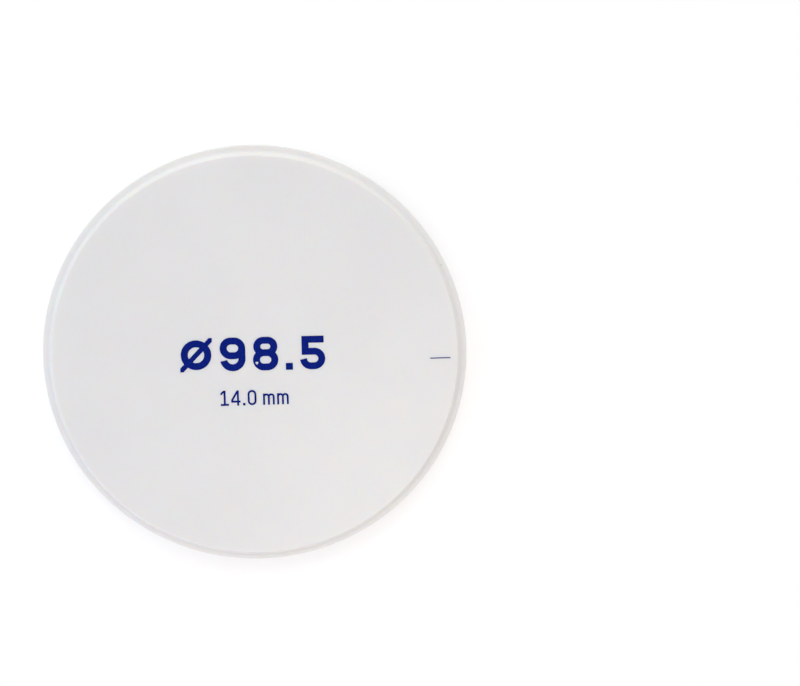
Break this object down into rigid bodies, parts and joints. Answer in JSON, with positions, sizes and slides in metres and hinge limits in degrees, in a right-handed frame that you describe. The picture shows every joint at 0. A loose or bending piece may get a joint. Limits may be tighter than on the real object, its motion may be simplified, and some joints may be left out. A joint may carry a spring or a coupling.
{
  "type": "dental milling disc",
  "caption": "Round stepped blank of part-fired ceramic: a plain collar with a raised flat face on each side, held in a mill's ring so that teeth can be cut out of it.",
  "frame": {"origin": "centre of the lower face, on the disc's axis", "axes": "+Z along the axis, out of the printed upper face; +X across the face towards the printed tick; +Y up the print"},
  "size_m": [0.0984, 0.0984, 0.014],
  "materials": {
    "part_fired_ceramic": "matt, chalky, turned",
    "marking_ink": "matt printed ink"
  },
  "bodies": {
    "root": {"milling_disc": "part_fired_ceramic"}
  },
  "joints": []
}
